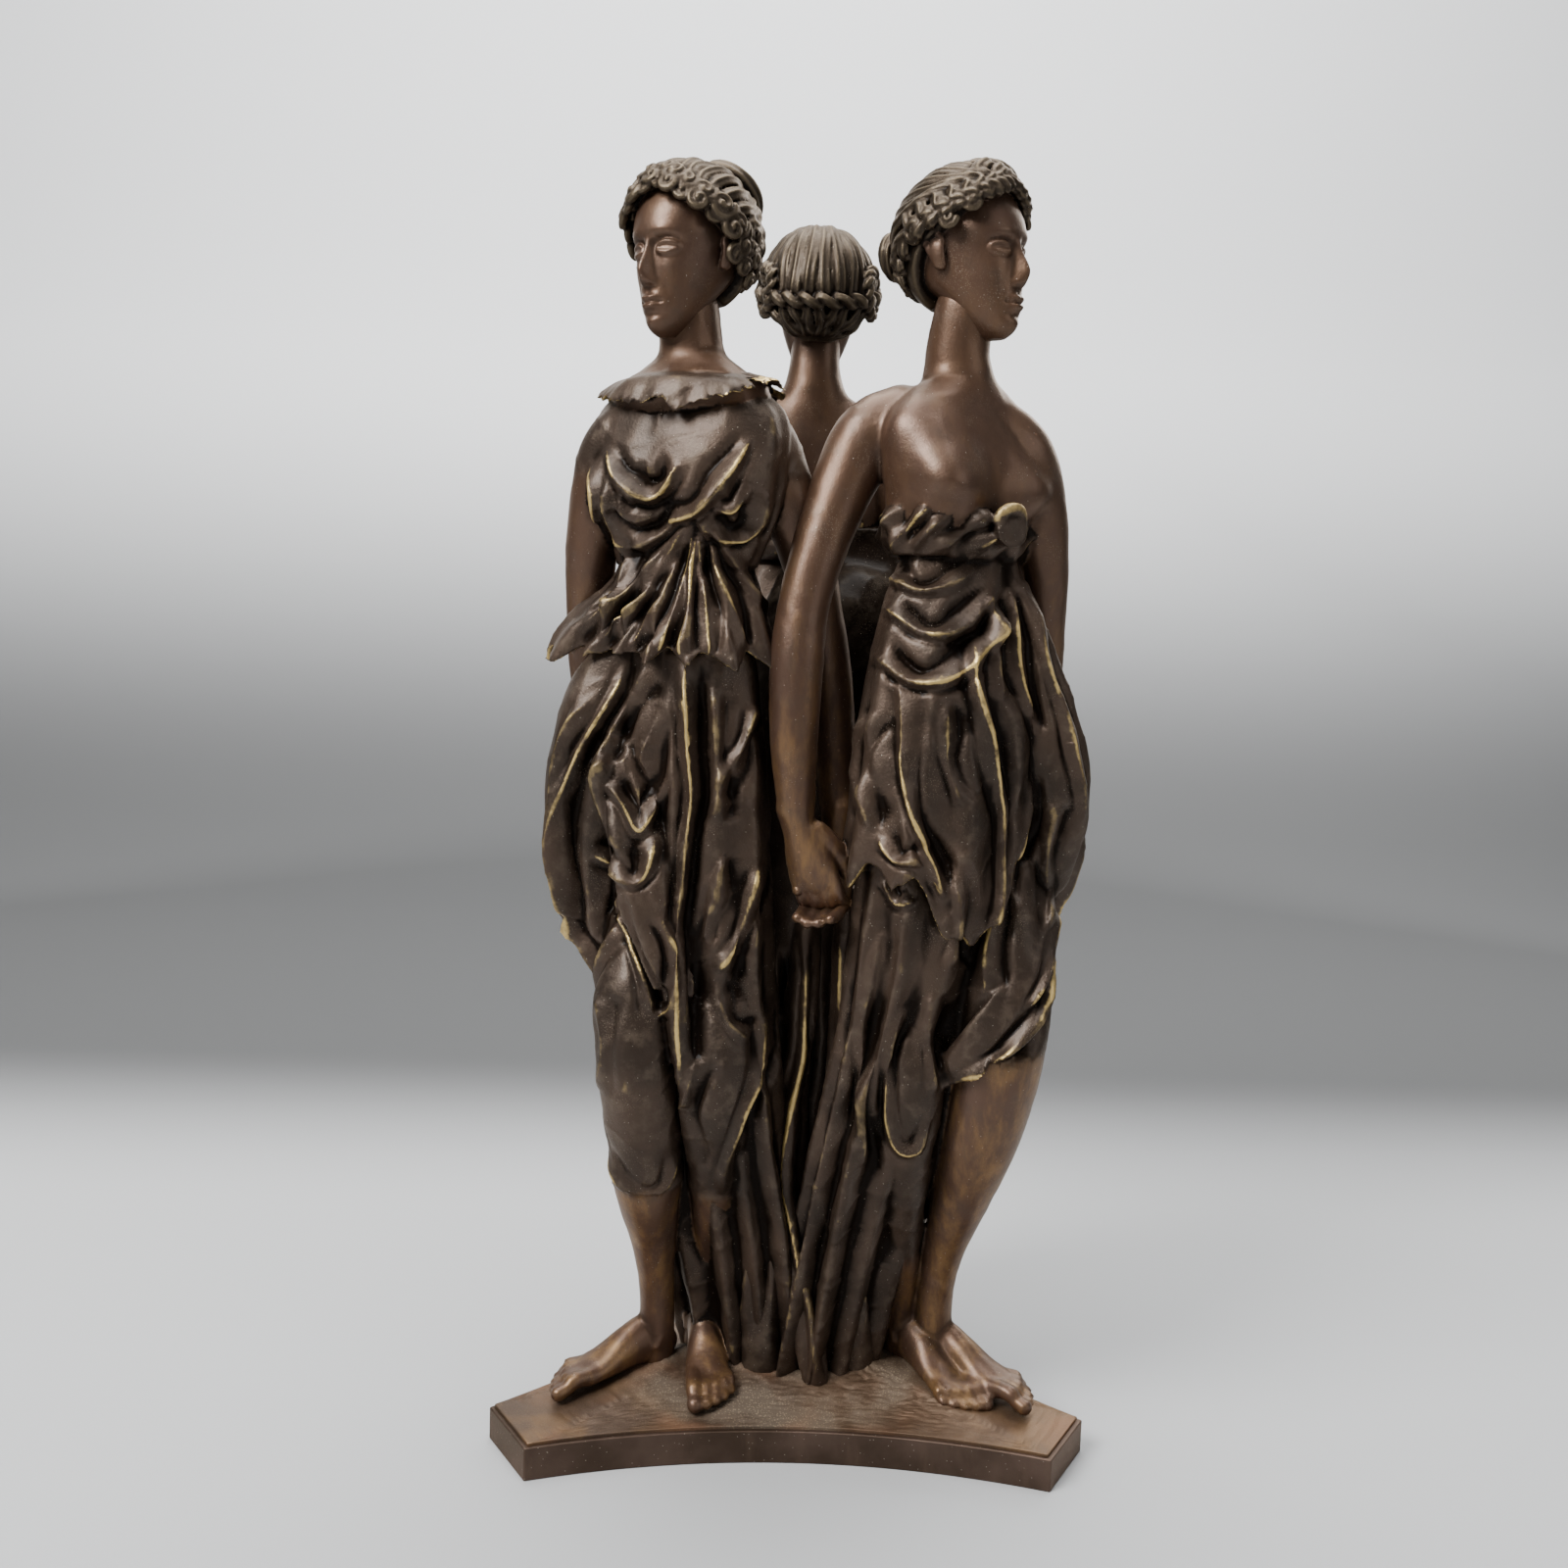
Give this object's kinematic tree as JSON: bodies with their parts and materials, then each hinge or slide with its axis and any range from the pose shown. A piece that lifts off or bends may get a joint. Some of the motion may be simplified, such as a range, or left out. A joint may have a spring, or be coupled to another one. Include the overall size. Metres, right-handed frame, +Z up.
{
  "type": "three graces statue",
  "caption": "Cast group of three draped women standing back to back with joined hands on a three-sided plinth with hollowed sides.",
  "frame": {"origin": "middle of the plinth's underside", "axes": "+Z up; -Y towards the hollowed side between the collared woman, on -X, and the bare-shouldered woman, on +X"},
  "size_m": [0.227, 0.1975, 0.4793],
  "materials": {
    "dark_bronze": "dark brown patina, satin, rubbed to yellow metal along the folds",
    "plinth_bronze": "dark brown patina, satin"
  },
  "bodies": {
    "root": {"three_graces_group": "dark_bronze", "plinth": "plinth_bronze"}
  },
  "joints": []
}
